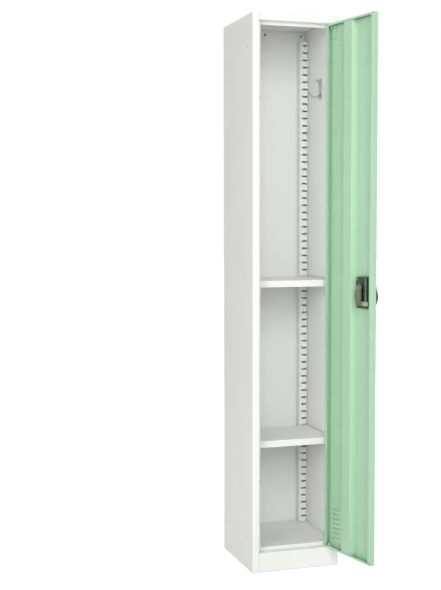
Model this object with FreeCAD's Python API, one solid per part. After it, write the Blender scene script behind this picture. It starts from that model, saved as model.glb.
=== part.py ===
import FreeCAD, Part
import math
import os

from FreeCAD import Vector, Rotation, Placement

os.makedirs("parts", exist_ok=True)

# Single-tier school locker, 12 x 12 x 72 in, with one full-height door.
# Working coordinates: X across the front (door hinged at +X), Y from front to
# back, Z up, origin at the middle of the footprint on the floor, door closed.
# On export everything moves back by FRAME_SHIFT_Y, so that the row's origin is
# the middle of the kick plate's foot flange, and the door group is swung open
# about its pivot axis by DOOR_OPEN_DEG.

# ---- driving dimensions (mm) ----
W = 305.0            # overall width
D = 305.0            # overall depth
H = 1829.0           # overall height
T = 0.9              # sheet thickness
STILE = 23.0         # width of each front stile
OPEN_Z0 = 65.1       # underside of the sill ledge, top of the kick plate
OPEN_Z1 = 1805.0     # underside of the header
STOP_Y = -130.0      # front face of the door stop lips
STOP_W = 11.5        # how far the jamb stop lips reach into the opening
FLOOR_Z = 78.0       # top of the locker floor

DOOR_GAP = 2.0
DOOR_Z0 = 67.0
DOOR_Z1 = 1803.0
DOOR_T = 20.0        # depth of the door pan
DOOR_HEM = 12.0      # inward return of the door's side flanges
DOOR_HEM_END = 7.0   # inward return of the top and bottom flanges
DOOR_OPEN_DEG = 101.0
HINGE_X = 121.5      # pivot axis, 6 mm in from the door's hinge edge
HINGE_Y = -147.5     # and 5 mm behind its face
PIN_R = 2.55
BUSH_BORE_R = 2.6
BUSH_R = 3.9

SLOT_PITCH = 25.4
SLOT_W = 20.0
SLOT_H = 6.0
SLOT_Z0 = 100.0
SLOT_N = 67
UPRIGHT_T = 1.2
REAR_FACE_Y = 122.0  # front face of the rear uprights
FRONT_FACE_Y = -121.0  # rear face of the front uprights

UPPER_SHELF_Z = 965.0
LOWER_SHELF_Z = UPPER_SHELF_Z - 21 * SLOT_PITCH
SHELF_LIP = 22.0
SHELF_Y0, SHELF_Y1 = -117.0, 118.0
SHELF_HALF_X = 149.0

LOCK_X = -72.0       # lever axis
LOCK_Z = 951.0
PLATE_X0, PLATE_X1 = -108.5, -38.5
PLATE_Z0, PLATE_Z1 = 887.0, 987.0
PLATE_T = 1.5

GANG_Y = 100.0       # ganging holes in both sides
GANG_Z0, GANG_Z1 = 107.0, 1727.0
GANG_R = 3.5
ANCHOR_X = 135.0     # wall anchor holes in the back
ANCHOR_Z = 1812.0
ANCHOR_R = 4.0

FRAME_SHIFT_Y = 144.5

HW, HD = W / 2, D / 2
JAMB = HW - STILE    # 129.5, half width of the door opening
FRONT = -HD


# ---- helpers ----
def box(x0, x1, y0, y1, z0, z1):
    return Part.makeBox(x1 - x0, y1 - y0, z1 - z0, Vector(x0, y0, z0))


def cyl(r, length, at, along):
    return Part.makeCylinder(r, length, Vector(*at), Vector(*along))


def join(*shapes):
    base = shapes[0]
    if len(shapes) > 1:
        base = base.fuse(list(shapes[1:]))
    return base.removeSplitter()


def mirror_x(shape):
    return shape.mirror(Vector(0, 0, 0), Vector(1, 0, 0))


def prism_x(points_yz, x0, x1):
    pts = [Vector(x0, y, z) for y, z in points_yz]
    face = Part.Face(Part.makePolygon(pts + [pts[0]]))
    return face.extrude(Vector(x1 - x0, 0, 0))


def prism_y(points_xz, y0, y1):
    pts = [Vector(x, y0, z) for x, z in points_xz]
    face = Part.Face(Part.makePolygon(pts + [pts[0]]))
    return face.extrude(Vector(0, y1 - y0, 0))


def rounded_plate_y(x0, x1, z0, z1, y0, y1, r):
    """Plate lying in XZ with corner radius r on its four vertical-to-face edges."""
    b = box(x0, x1, y0, y1, z0, z1)
    edges = [e for e in b.Edges
             if abs(e.Vertexes[0].Point.x - e.Vertexes[1].Point.x) < 1e-6
             and abs(e.Vertexes[0].Point.z - e.Vertexes[1].Point.z) < 1e-6]
    return b.makeFillet(r, edges)


def strap_path_xz(points, width_y0, width_y1, t):
    """Flat strap of thickness t following a chain of points in XZ, with round
    knuckles at the bends."""
    solids = []
    for (xa, za), (xb, zb) in zip(points[:-1], points[1:]):
        L = math.hypot(xb - xa, zb - za)
        nx, nz = -(zb - za) / L * t / 2, (xb - xa) / L * t / 2
        solids.append(prism_y([(xa + nx, za + nz), (xb + nx, zb + nz),
                               (xb - nx, zb - nz), (xa - nx, za - nz)],
                              width_y0, width_y1))
    for x, z in points[1:]:
        solids.append(cyl(t / 2, width_y1 - width_y0, (x, width_y0, z), (0, 1, 0)))
    return join(*solids)


def export(shape, name, door=False):
    shape = shape.copy()
    if door:
        shape.rotate(Vector(HINGE_X, HINGE_Y, 0), Vector(0, 0, 1), DOOR_OPEN_DEG)
    shape.translate(Vector(0, FRAME_SHIFT_Y, 0))
    if not shape.isValid():
        print("INVALID", name)
    shape.exportStep("parts/" + name + ".step")
    b = shape.BoundBox
    print("%-22s solids %3d vol %10.1f  x %7.1f..%7.1f y %7.1f..%7.1f z %7.1f..%7.1f" % (
        name, len(shape.Solids), shape.Volume, b.XMin, b.XMax, b.YMin, b.YMax, b.ZMin, b.ZMax))


# ---- side panels: wall, front stile, jamb return, stop lip, rear and foot flanges ----
def side_panel():
    s = join(
        box(-HW, -HW + T, -HD, HD, 0, H),
        box(-HW, -JAMB, FRONT, FRONT + T, 0, H),
        box(-JAMB - T, -JAMB, FRONT, STOP_Y + T, 0, H - T - 0.1),
        box(-JAMB - T, -JAMB + STOP_W, STOP_Y, STOP_Y + T, 0, H - T - 0.1),
        box(-HW, -HW + 15, HD - T, HD, 0, H),
        box(-HW, -HW + 16, -118, 150, 0, T),
    )
    for y in (-GANG_Y, GANG_Y):
        for z in (GANG_Z0, GANG_Z1):
            s = s.cut(cyl(GANG_R, 3, (-HW - 1, y, z), (1, 0, 0)))
    return s


left = side_panel()
export(left, "left_side_panel")
export(mirror_x(left), "right_side_panel")

# ---- back panel with three wall anchor holes ----
back = box(-HW + T + 0.1, HW - T - 0.1, HD - 2 * T - 0.1, HD - T, 0, H - T - 0.1)
for x in (-ANCHOR_X, 0, ANCHOR_X):
    back = back.cut(cyl(ANCHOR_R, 4, (x, HD - 4, ANCHOR_Z), (0, 1, 0)))
export(back, "back_panel")

# ---- top panel: roof sheet, header face, header underside, stop lip ----
roof_y1 = HD - T
top = join(
    box(-HW + T, HW - T, FRONT + T, roof_y1, H - T, H),
    box(-JAMB + 0.1, JAMB - 0.1, FRONT, FRONT + T, OPEN_Z1, H),
    box(-JAMB + 0.1, JAMB - 0.1, FRONT, STOP_Y, OPEN_Z1, OPEN_Z1 + T),
    box(-JAMB + STOP_W + 0.1, JAMB - STOP_W - 0.1, STOP_Y, STOP_Y + T, OPEN_Z1 - 11, OPEN_Z1 + T),
)
# pivot pin hole in the header underside
top = top.cut(cyl(PIN_R, 4, (HINGE_X, HINGE_Y, OPEN_Z1 - 1), (0, 0, 1)))
export(top, "top_panel")

# ---- bottom panel: sill ledge, sill rim and floor ----
bottom = join(
    box(-JAMB + 0.1, JAMB - 0.1, FRONT, STOP_Y, OPEN_Z0, OPEN_Z0 + T),
    box(-JAMB + STOP_W + 0.1, JAMB - STOP_W - 0.1, STOP_Y, STOP_Y + T, OPEN_Z0, FLOOR_Z),
    box(-HW + T + 0.1, HW - T - 0.1, STOP_Y + T, HD - 2 * T - 0.2, FLOOR_Z - T, FLOOR_Z),
    box(-JAMB + STOP_W + 0.1, JAMB - STOP_W - 0.1, STOP_Y, STOP_Y + 2 * T, FLOOR_Z - T, FLOOR_Z),
)
bottom = bottom.cut(cyl(PIN_R, 4, (HINGE_X, HINGE_Y, OPEN_Z0 - 1), (0, 0, 1)))
export(bottom, "bottom_panel")

# ---- kick plate with a foot flange and a stiffening return at its top ----
kick = join(
    box(-JAMB + 0.1, JAMB - 0.1, FRONT, FRONT + T, 0, OPEN_Z0 - 0.0),
    box(-JAMB + 0.1, JAMB - 0.1, FRONT, FRONT + 16, 0, T),
)
export(kick, "kick_plate")

# ---- slotted uprights ----
def slots(y0, y1, x0, x1):
    return Part.makeCompound([
        box(x0, x1, y0, y1, SLOT_Z0 + i * SLOT_PITCH - SLOT_H / 2, SLOT_Z0 + i * SLOT_PITCH + SLOT_H / 2)
        for i in range(SLOT_N)])


UP_Z0, UP_Z1 = FLOOR_Z + 1, 1790.0
wall = HW - T - 0.1
rear = join(
    box(-wall, -wall + 30, REAR_FACE_Y, REAR_FACE_Y + UPRIGHT_T, UP_Z0, UP_Z1),
    box(-wall, -wall + UPRIGHT_T, REAR_FACE_Y, HD - 2 * T - 0.2, UP_Z0, UP_Z1),
    box(-wall + 30 - UPRIGHT_T, -wall + 30, REAR_FACE_Y, HD - 2 * T - 0.2, UP_Z0, UP_Z1),
)
slot_x0 = -wall + 3
rear = rear.cut(slots(REAR_FACE_Y - 1, REAR_FACE_Y + UPRIGHT_T + 1, slot_x0, slot_x0 + SLOT_W))
export(rear, "rear_upright_left")
export(mirror_x(rear), "rear_upright_right")

front = join(
    box(-wall, -JAMB, FRONT_FACE_Y - UPRIGHT_T, FRONT_FACE_Y, UP_Z0, UP_Z1),
    box(-wall, -wall + UPRIGHT_T, FRONT_FACE_Y - 8, FRONT_FACE_Y, UP_Z0, UP_Z1),
)
fslot_x0, fslot_x1 = -wall + 3, -wall + 18
front = front.cut(slots(FRONT_FACE_Y - UPRIGHT_T - 1, FRONT_FACE_Y + 1, fslot_x0, fslot_x1))
export(front, "front_upright_left")
export(mirror_x(front), "front_upright_right")


# ---- shelves: tray with a downward lip on all four sides ----
def shelf(z):
    outer = box(-SHELF_HALF_X, SHELF_HALF_X, SHELF_Y0, SHELF_Y1, z - SHELF_LIP, z)
    inner = box(-SHELF_HALF_X + T, SHELF_HALF_X - T, SHELF_Y0 + T, SHELF_Y1 - T, z - SHELF_LIP - 1, z - T)
    return outer.cut(inner)


export(shelf(UPPER_SHELF_Z), "upper_shelf")
export(shelf(LOWER_SHELF_Z), "lower_shelf")


# ---- shelf clips: hooked through the uprights' slots, with a ledge under the lips ----
def clip(z, rear_side):
    """Clip on the left; z is the shelf's top. The hook goes through the slot whose
    middle is 1.4 mm below the shelf's top."""
    zc = z - 1.4
    ledge_top = z - SHELF_LIP
    if rear_side:
        f = REAR_FACE_Y
        x0, x1 = -wall + 5, -wall + 21
        return join(
            box(x0, x1, f - 1.2, f, ledge_top - 1.4, zc + 3),
            box(x0, x1, f - 14, f, ledge_top - 1.4, ledge_top),
            box(x0 + 1, x1 - 1, f - 0.5, f + 4.4, zc - 1.5, zc + 0.3),
            box(x0 + 1, x1 - 1, f + 3, f + 4.4, zc - 8, zc + 0.3),
        )
    f = FRONT_FACE_Y
    x0, x1 = -wall + 4, -wall + 17
    return join(
        box(x0, x1, f, f + 1.2, ledge_top - 1.4, zc + 3),
        box(x0, x1, f, f + 14, ledge_top - 1.4, ledge_top),
        box(x0 + 1, x1 - 1, f - 3.4, f + 0.5, zc - 1.5, zc + 0.3),
        box(x0 + 1, x1 - 1, f - 3.4, f - 2.2, zc - 8, zc + 0.3),
    )


def clip_set(z):
    a, b = clip(z, True), clip(z, False)
    return Part.makeCompound([a, mirror_x(a), b, mirror_x(b)])


export(clip_set(UPPER_SHELF_Z), "upper_shelf_clips")
export(clip_set(LOWER_SHELF_Z), "lower_shelf_clips")

# ---- coat hooks: back plate on the wall and a bent prong with a rounded end ----
HOOK_Y0, HOOK_Y1 = 2.0, 22.0
hx = -wall
hook_plate = box(hx, hx + 2, HOOK_Y0, HOOK_Y1, 1578, 1648)
vert = [e for e in hook_plate.Edges
        if abs(e.Vertexes[0].Point.y - e.Vertexes[1].Point.y) < 1e-6
        and abs(e.Vertexes[0].Point.z - e.Vertexes[1].Point.z) < 1e-6]
hook_plate = hook_plate.makeFillet(6, vert)
prong = strap_path_xz([(hx + 1.2, 1596), (hx + 8, 1589), (hx + 19, 1585), (hx + 31, 1588), (hx + 40, 1597), (hx + 45, 1608)],
                      6.0, 18.0, 2.6)
upper = strap_path_xz([(hx + 1.2, 1636), (hx + 10, 1639), (hx + 15, 1646)], 6.0, 18.0, 2.6)
tip = Part.makeSphere(4.2, Vector(hx + 45.5, 12, 1609.5))
hook = join(hook_plate, prong, upper, tip)
for z in (1606.0, 1624.0):
    hook = hook.cut(cyl(2.0, 4, (hx - 1, 12, z), (1, 0, 0)))
export(hook, "coat_hook_left")
export(mirror_x(hook), "coat_hook_right")

rivets = []
for z in (1606.0, 1624.0):
    shank = cyl(1.95, 2.1, (hx - 0.05, 12, z), (1, 0, 0))
    head = Part.makeSphere(4.6, Vector(hx + 2 - 3.2, 12, z))
    head = head.common(box(hx + 2, hx + 6, 0, 30, z - 6, z + 6))
    r = join(shank, head)
    rivets += [r, mirror_x(r)]
export(Part.makeCompound(rivets), "hook_rivets")

# ---- blind rivets that hold the back panel to the side panels' rear flanges ----
rv = []
for z in (40.0, 330.0, 640.0, 950.0, 1260.0, 1570.0, 1780.0):
    head = Part.makeSphere(4.0, Vector(-HW + 7.5, HD - 2.6, z))
    head = head.common(box(-HW, -HW + 15, HD, HD + 3, z - 5, z + 5))
    rv += [head, mirror_x(head)]
export(Part.makeCompound(rv), "back_panel_rivets")

# ---- rubber bumpers on the latch side stop lip ----
bump = []
for z in (300.0, 900.0, 1560.0):
    bump.append(cyl(4.0, 2.2, (-JAMB + 5.6, STOP_Y - 2.2, z), (0, 1, 0)))
export(Part.makeCompound(bump), "door_bumpers")

# ---- pivot pins: headed pins through the header underside and the sill ledge ----
top_pin = join(
    cyl(PIN_R, 20, (HINGE_X, HINGE_Y, OPEN_Z1 + T - 20), (0, 0, 1)),
    cyl(3.9, 2, (HINGE_X, HINGE_Y, OPEN_Z1 + T), (0, 0, 1)),
)
export(top_pin, "top_pivot_pin")
bottom_pin = join(
    cyl(PIN_R, 17, (HINGE_X, HINGE_Y, OPEN_Z0), (0, 0, 1)),
    cyl(3.9, 2, (HINGE_X, HINGE_Y, OPEN_Z0 - 2), (0, 0, 1)),
)
export(bottom_pin, "bottom_pivot_pin")

# =====================  door group (modelled closed)  =====================
DX0, DX1 = -JAMB + DOOR_GAP, JAMB - DOOR_GAP
DY0, DY1 = FRONT, FRONT + DOOR_T

pan = box(DX0, DX1, DY0, DY1, DOOR_Z0, DOOR_Z1)
pan = pan.cut(box(DX0 + T, DX1 - T, DY0 + T, DY1 - T, DOOR_Z0 + T, DOOR_Z1 - T))
pan = pan.cut(box(DX0 + DOOR_HEM, DX1 - DOOR_HEM, DY1 - T - 1, DY1 + 1, DOOR_Z0 + DOOR_HEM_END, DOOR_Z1 - DOOR_HEM_END))

# card holder: a raised U-shaped rib pressed in the door skin near the top
CX0, CX1, CZ0, CZ1 = 50.5, 103.0, 1726.0, 1772.0
RIB, PROUD = 4.0, 1.2
ribs = [(CX0, CX0 + RIB, CZ0, CZ1), (CX1 - RIB, CX1, CZ0, CZ1), (CX0, CX1, CZ0, CZ0 + RIB)]
pan = pan.fuse([box(a, b, DY0 - PROUD, DY0 + 0.2, c, d) for a, b, c, d in ribs])
g = 0.9
grooves = [(CX0 + g, CX0 + RIB - g, CZ0 + g, CZ1 - g), (CX1 - RIB + g, CX1 - g, CZ0 + g, CZ1 - g),
           (CX0 + g, CX1 - g, CZ0 + g, CZ0 + RIB - g)]
pan = pan.cut(Part.makeCompound([box(a, b, DY0 - PROUD + T, DY0 + T + 0.5, c, d) for a, b, c, d in grooves[:2]]))
pan = pan.cut(box(grooves[2][0], grooves[2][1], DY0 - PROUD + T, DY0 + T + 0.5, grooves[2][2], grooves[2][3]))

# louvres: seven hooded air slots at the bottom of the door, hinge side
LX0, LX1 = 36.0, 109.0
louvre_cuts, louvre_hoods = [], []
for i in range(7):
    zc = 101.0 + 16.0 * i
    louvre_cuts.append(box(LX0 + 1, LX1 - 1, DY0 - 1, DY0 + T + 1, zc - 3.0, zc + 1.6))
    louvre_hoods.append(prism_x([(DY0 + T, zc + 3.4), (DY0 + T, zc + 1.6), (DY0 - 2.4, zc - 3.0), (DY0 - 3.2, zc - 3.0),
                                 (DY0, zc + 3.4)], LX0, LX1))
pan = pan.cut(Part.makeCompound(louvre_cuts))
pan = pan.fuse(louvre_hoods).removeSplitter()

# lock openings: spindle hole and plug hole
pan = pan.cut(cyl(7.0, 6, (LOCK_X, DY0 - 2, LOCK_Z), (0, 1, 0)))
pan = pan.cut(cyl(5.5, 6, (-93.5, DY0 - 2, 946.0), (0, 1, 0)))
for x, z in [(-50.0, 976.0), (-50.0, 892.0)]:
    pan = pan.cut(cyl(2.2, 6, (x, DY0 - 2, z), (0, 1, 0)))
# pivot bush holes in the top and bottom flanges
for z in (DOOR_Z0 - 1, DOOR_Z1 - 2):
    pan = pan.cut(cyl(BUSH_R, 4, (HINGE_X, HINGE_Y, z), (0, 0, 1)))
export(pan, "door_panel", door=True)

# stiffener: hat channel with sloped sides down the door's inner side, from flange
# to flange, its crown just under the hems
SZ0, SZ1 = DOOR_Z0 + T, DOOR_Z1 - T
yb = DY0 + T
HAT_D = DOOR_T - 2 * T - 0.1
HAT_X0, HAT_X1 = -16.0, 30.0
hat_out = [(-34, 0), (-34, T), (HAT_X0 - 5.5, T), (HAT_X0, HAT_D), (HAT_X1, HAT_D), (HAT_X1 + 5.5, T), (44, T), (44, 0)]
hat_in = [(HAT_X1 + 4.8, 0), (HAT_X1 - 0.6, HAT_D - T), (HAT_X0 + 0.6, HAT_D - T), (HAT_X0 - 4.8, 0)]
pts = [Vector(x, yb + y, SZ0) for x, y in hat_out + hat_in]
hat = Part.Face(Part.makePolygon(pts + [pts[0]])).extrude(Vector(0, 0, SZ1 - SZ0))
# the end 32 mm of each foot flange is trimmed at the louvres' side to clear them
hat = hat.cut(box(34.6, 60, yb - 1, yb + T + 1, 90, 205))
export(hat, "door_stiffener", door=True)


# pivot brackets: plates that double the skin and the flange around each pivot bush
def pivot_bracket(z0, z1, tab_z0):
    b = join(box(97, DX1 - T, yb, yb + 1.5, z0, z1),
             box(97, DX1 - T, yb, yb + 16.5, tab_z0, tab_z0 + 1.5))
    return b.cut(cyl(BUSH_R, 6, (HINGE_X, HINGE_Y, tab_z0 - 2), (0, 0, 1)))


export(pivot_bracket(1755.0, DOOR_Z1 - T, DOOR_Z1 - T - 1.5), "top_pivot_bracket", door=True)
export(pivot_bracket(DOOR_Z0 + T, 93.0, DOOR_Z0 + T), "bottom_pivot_bracket", door=True)


# pivot bushes: nylon, flanged, pressed in the door's top and bottom flanges
def bush(z_flange0, z_flange1, z_body0, z_body1):
    b = join(cyl(4.9, z_flange1 - z_flange0, (HINGE_X, HINGE_Y, z_flange0), (0, 0, 1)),
             cyl(BUSH_R, z_body1 - z_body0, (HINGE_X, HINGE_Y, z_body0), (0, 0, 1)))
    return b.cut(cyl(BUSH_BORE_R, 40, (HINGE_X, HINGE_Y, z_body0 - 20), (0, 0, 1)))


export(bush(OPEN_Z0 + T + 0.02, DOOR_Z0, DOOR_Z0, DOOR_Z0 + 10), "bottom_pivot_bush", door=True)
export(bush(DOOR_Z1, DOOR_Z1 + 1.2, DOOR_Z1 - 10, DOOR_Z1), "top_pivot_bush", door=True)

# handle plate on the door's face
plate = rounded_plate_y(PLATE_X0, PLATE_X1, PLATE_Z0, PLATE_Z1, DY0 - PLATE_T, DY0, 9.0)
plate = plate.cut(cyl(7.0, 6, (LOCK_X, DY0 - 3, LOCK_Z), (0, 1, 0)))
plate = plate.cut(cyl(5.5, 6, (-93.5, DY0 - 3, 946.0), (0, 1, 0)))
for x, z in [(-50.0, 976.0), (-50.0, 892.0)]:
    plate = plate.cut(cyl(2.0, 0.9, (x, DY0 - 0.9, z), (0, 1, 0)))
export(plate, "handle_plate", door=True)

# black plug in the spare cylinder hole
plug = join(cyl(6.5, 1.6, (-93.5, DY0 - PLATE_T - 1.6, 946.0), (0, 1, 0)),
            cyl(5.4, PLATE_T + T, (-93.5, DY0 - PLATE_T - 0.1, 946.0), (0, 1, 0)))
export(plug, "cylinder_hole_plug", door=True)

# padlock staple: a drilled lug standing on the plate beside the lever
SX0, SX1 = LOCK_X + 11.2, LOCK_X + 13.7
EYE_Z = 925.0
fy = DY0 - PLATE_T
EYE_Y = fy - 22.0
staple = prism_x([(fy, 903), (fy, 947), (fy - 18, 947), (fy - 33, 934), (fy - 33, 916), (fy - 18, 903)], SX0, SX1)
staple = staple.cut(cyl(4.75, 10, (SX0 - 3, EYE_Y, EYE_Z), (1, 0, 0)))
export(staple, "padlock_staple", door=True)

# lock case on the door's inner face: a shallow stamped cup around the spindle
CASE_X0, CASE_X1, CASE_Z0, CASE_Z1, CASE_D = -97.0, -43.0, 884.0, 984.0, 18.0
case = rounded_plate_y(CASE_X0, CASE_X1, CASE_Z0, CASE_Z1, yb, yb + CASE_D, 5.0)
case = case.cut(box(CASE_X0 + 1.4, CASE_X1 - 1.4, yb - 1, yb + CASE_D - 1.4, CASE_Z0 + 1.4, CASE_Z1 - 1.4))
case = case.cut(cyl(5.2, 6, (LOCK_X, yb + CASE_D - 4, LOCK_Z), (0, 1, 0)))
SCREWS = [(-50.0, 976.0), (-50.0, 892.0)]
for x, z in SCREWS:
    case = case.cut(cyl(2.2, 6, (x, yb + CASE_D - 4, z), (0, 1, 0)))
export(case, "lock_case", door=True)

# screws that draw the lock case and the handle plate together through the skin
sc = []
for x, z in SCREWS:
    head = Part.makeSphere(4.6, Vector(x, yb + CASE_D - 2.4, z)).common(
        box(x - 6, x + 6, yb + CASE_D, yb + CASE_D + 4, z - 6, z + 6))
    sc.append(join(cyl(2.0, yb + CASE_D - (DY0 - 0.9), (x, DY0 - 0.9, z), (0, 1, 0)), head))
export(Part.makeCompound(sc), "lock_case_screws", door=True)

# bearing sleeve for the spindle, held in the door skin and handle plate
sleeve = cyl(6.9, PLATE_T + T + 12, (LOCK_X, DY0 - PLATE_T, LOCK_Z), (0, 1, 0))
sleeve = sleeve.cut(cyl(5.05, 40, (LOCK_X, DY0 - 20, LOCK_Z), (0, 1, 0)))
export(sleeve, "spindle_sleeve", door=True)

# ---- lever group: lever, spindle, latch cam and nut turn together ----
hub_y0 = fy - 35.0
hub = cyl(11.0, 34.6, (LOCK_X, hub_y0, LOCK_Z), (0, 1, 0))
arm = prism_x([(fy - 29.0, 963), (fy - 33.0, 963), (fy - 36.6, 954), (fy - 38.4, 942), (fy - 42.2, 931), (fy - 43.8, 920),
               (fy - 42.6, 909), (fy - 39.0, 899), (fy - 34.5, 888), (fy - 28.5, 888), (fy - 33.0, 899), (fy - 36.0, 909),
               (fy - 37.2, 920), (fy - 36.0, 931), (fy - 32.0, 941), (fy - 29.0, 948)],
              LOCK_X - 7, LOCK_X + 7)
ear = prism_x([(fy - 12, 917), (fy - 12, 933), (fy - 18, 939), (fy - 36, 939), (fy - 38.5, 931), (fy - 39.5, 921),
               (fy - 38.5, 911), (fy - 18, 910)], LOCK_X + 8.5, LOCK_X + 11.0)
ear_root = prism_x([(fy - 36.0, 933), (fy - 40.5, 933), (fy - 42.0, 921), (fy - 40.5, 911), (fy - 36.0, 911), (fy - 37.4, 921)],
                   LOCK_X + 6, LOCK_X + 11.0)
lever = join(hub, arm, ear, ear_root)
lever = lever.cut(cyl(4.75, 10, (LOCK_X + 4, EYE_Y, EYE_Z), (1, 0, 0)))
export(lever, "handle_lever", door=True)

cam_y0 = -128.6
spindle = cyl(5.0, (cam_y0 + 8.5) - (fy - 0.4), (LOCK_X, fy - 0.4, LOCK_Z), (0, 1, 0))
spindle = spindle.cut(box(LOCK_X + 3.5, LOCK_X + 6, cam_y0 - 0.2, 0, LOCK_Z - 6, LOCK_Z + 6))
export(spindle, "spindle", door=True)

cam = join(
    rounded_plate_y(LOCK_X - 9, LOCK_X + 9, LOCK_Z - 58, LOCK_Z + 11, cam_y0, cam_y0 + 3, 6.0),
    rounded_plate_y(LOCK_X - 43, LOCK_X + 5, LOCK_Z - 58, LOCK_Z - 44, cam_y0, cam_y0 + 3, 4.0),
    cyl(34.0, 3, (LOCK_X - 10, cam_y0, LOCK_Z - 25), (0, 1, 0)).common(
        box(LOCK_X - 6, LOCK_X + 40, cam_y0 - 1, cam_y0 + 4, LOCK_Z - 57, LOCK_Z + 10)),
)
bore = cyl(5.0, 10, (LOCK_X, cam_y0 - 2, LOCK_Z), (0, 1, 0)).cut(
    box(LOCK_X + 3.5, LOCK_X + 6, cam_y0 - 4, cam_y0 + 10, LOCK_Z - 6, LOCK_Z + 6))
cam = cam.cut(bore)
export(cam, "latch_cam", door=True)

hexa = []
for k in range(6):
    a = math.radians(60 * k + 30)
    hexa.append((LOCK_X + 8.0 * math.cos(a), LOCK_Z + 8.0 * math.sin(a)))
nut = prism_y(hexa, cam_y0 + 3, cam_y0 + 8)
nut = nut.cut(cyl(5.0, 10, (LOCK_X, cam_y0 + 1, LOCK_Z), (0, 1, 0)).cut(
    box(LOCK_X + 3.5, LOCK_X + 6, cam_y0, cam_y0 + 12, LOCK_Z - 6, LOCK_Z + 6)))
export(nut, "cam_nut", door=True)
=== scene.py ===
import bpy, bmesh, math
from mathutils import Vector, Matrix


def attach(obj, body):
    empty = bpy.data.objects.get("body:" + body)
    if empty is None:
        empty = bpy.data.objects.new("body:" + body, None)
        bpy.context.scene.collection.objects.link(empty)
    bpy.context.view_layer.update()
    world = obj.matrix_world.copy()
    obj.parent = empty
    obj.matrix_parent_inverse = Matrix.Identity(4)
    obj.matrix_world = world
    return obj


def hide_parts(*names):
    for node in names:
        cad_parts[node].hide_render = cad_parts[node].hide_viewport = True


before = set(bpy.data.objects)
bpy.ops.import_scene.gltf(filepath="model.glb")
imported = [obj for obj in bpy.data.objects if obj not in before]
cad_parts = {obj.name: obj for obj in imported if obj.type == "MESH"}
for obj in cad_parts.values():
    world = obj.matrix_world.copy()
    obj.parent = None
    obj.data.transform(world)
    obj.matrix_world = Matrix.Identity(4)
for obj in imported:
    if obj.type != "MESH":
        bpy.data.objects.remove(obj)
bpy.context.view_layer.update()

# Every piece is drawn in millimetres with the door closed and the cabinet's footprint
# centred on the origin, then moved to the row's frame: back by 144.5 mm, and the door
# group turned open by 101 degrees about its pivot axis.
HX, HY, OPEN = 121.5, -147.5, math.radians(101.0)
MM = Matrix.Scale(0.001, 4)
CAB = MM @ Matrix.Translation((0, 144.5, 0))
DOOR = MM @ Matrix.Translation((HX, HY + 144.5, 0)) @ Matrix.Rotation(OPEN, 4, "Z") @ Matrix.Translation((-HX, -HY, 0))
T = 0.9
COLL = bpy.context.scene.collection


# ------------------------------------------------------------------ materials
class Mat:
    """Small helper for a procedural Principled material in object coordinates (metres)."""

    def __init__(self, name, color, rough, metallic=0.0):
        self.m = bpy.data.materials.new(name)
        self.m.use_nodes = True
        self.t = self.m.node_tree
        self.p = self.t.nodes["Principled BSDF"]
        self.p.inputs["Base Color"].default_value = (*color, 1)
        self.p.inputs["Roughness"].default_value = rough
        self.p.inputs["Metallic"].default_value = metallic
        self.co = self.t.nodes.new("ShaderNodeTexCoord").outputs["Object"]

    def node(self, kind, **kw):
        n = self.t.nodes.new(kind)
        for k, v in kw.items():
            if k in n.inputs:
                n.inputs[k].default_value = v
            else:
                setattr(n, k, v)
        return n

    def link(self, a, b):
        self.t.links.new(a, b)

    def noise(self, scale, detail=3.0, rough=0.55, stretch=None, distortion=0.0):
        n = self.node("ShaderNodeTexNoise")
        n.inputs["Scale"].default_value = scale
        n.inputs["Detail"].default_value = detail
        n.inputs["Roughness"].default_value = rough
        n.inputs["Distortion"].default_value = distortion
        if stretch:
            mp = self.node("ShaderNodeMapping")
            mp.inputs["Scale"].default_value = stretch
            self.link(self.co, mp.inputs["Vector"])
            self.link(mp.outputs["Vector"], n.inputs["Vector"])
        else:
            self.link(self.co, n.inputs["Vector"])
        return n.outputs["Fac"]

    def ramp(self, fac, stops):
        r = self.node("ShaderNodeValToRGB")
        el = r.color_ramp.elements
        while len(el) < len(stops):
            el.new(0.5)
        for e, (pos, c) in zip(el, stops):
            e.position = pos
            e.color = (*c, 1) if len(c) == 3 else c
        self.link(fac, r.inputs["Fac"])
        return r.outputs["Color"]

    def map(self, fac, a0, a1, b0, b1):
        r = self.node("ShaderNodeMapRange")
        for i, v in zip(("From Min", "From Max", "To Min", "To Max"), (a0, a1, b0, b1)):
            r.inputs[i].default_value = v
        self.link(fac, r.inputs["Value"])
        return r.outputs["Result"]

    def mix(self, fac, a, b, blend="MIX"):
        n = self.node("ShaderNodeMix", data_type="RGBA", blend_type=blend)
        ins = [i for i in n.inputs if i.type == "RGBA"]
        if isinstance(fac, float):
            n.inputs[0].default_value = fac
        else:
            self.link(fac, n.inputs[0])
        for s, v in zip(ins, (a, b)):
            if isinstance(v, tuple):
                s.default_value = (*v, 1)
            else:
                self.link(v, s)
        return [o for o in n.outputs if o.type == "RGBA"][0]

    def bump(self, heights):
        """heights: list of (fac, strength, distance)"""
        prev = None
        for fac, s, d in heights:
            b = self.node("ShaderNodeBump")
            b.inputs["Strength"].default_value = s
            b.inputs["Distance"].default_value = d
            self.link(fac, b.inputs["Height"])
            if prev:
                self.link(prev, b.inputs["Normal"])
            prev = b.outputs["Normal"]
        self.link(prev, self.p.inputs["Normal"])


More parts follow.
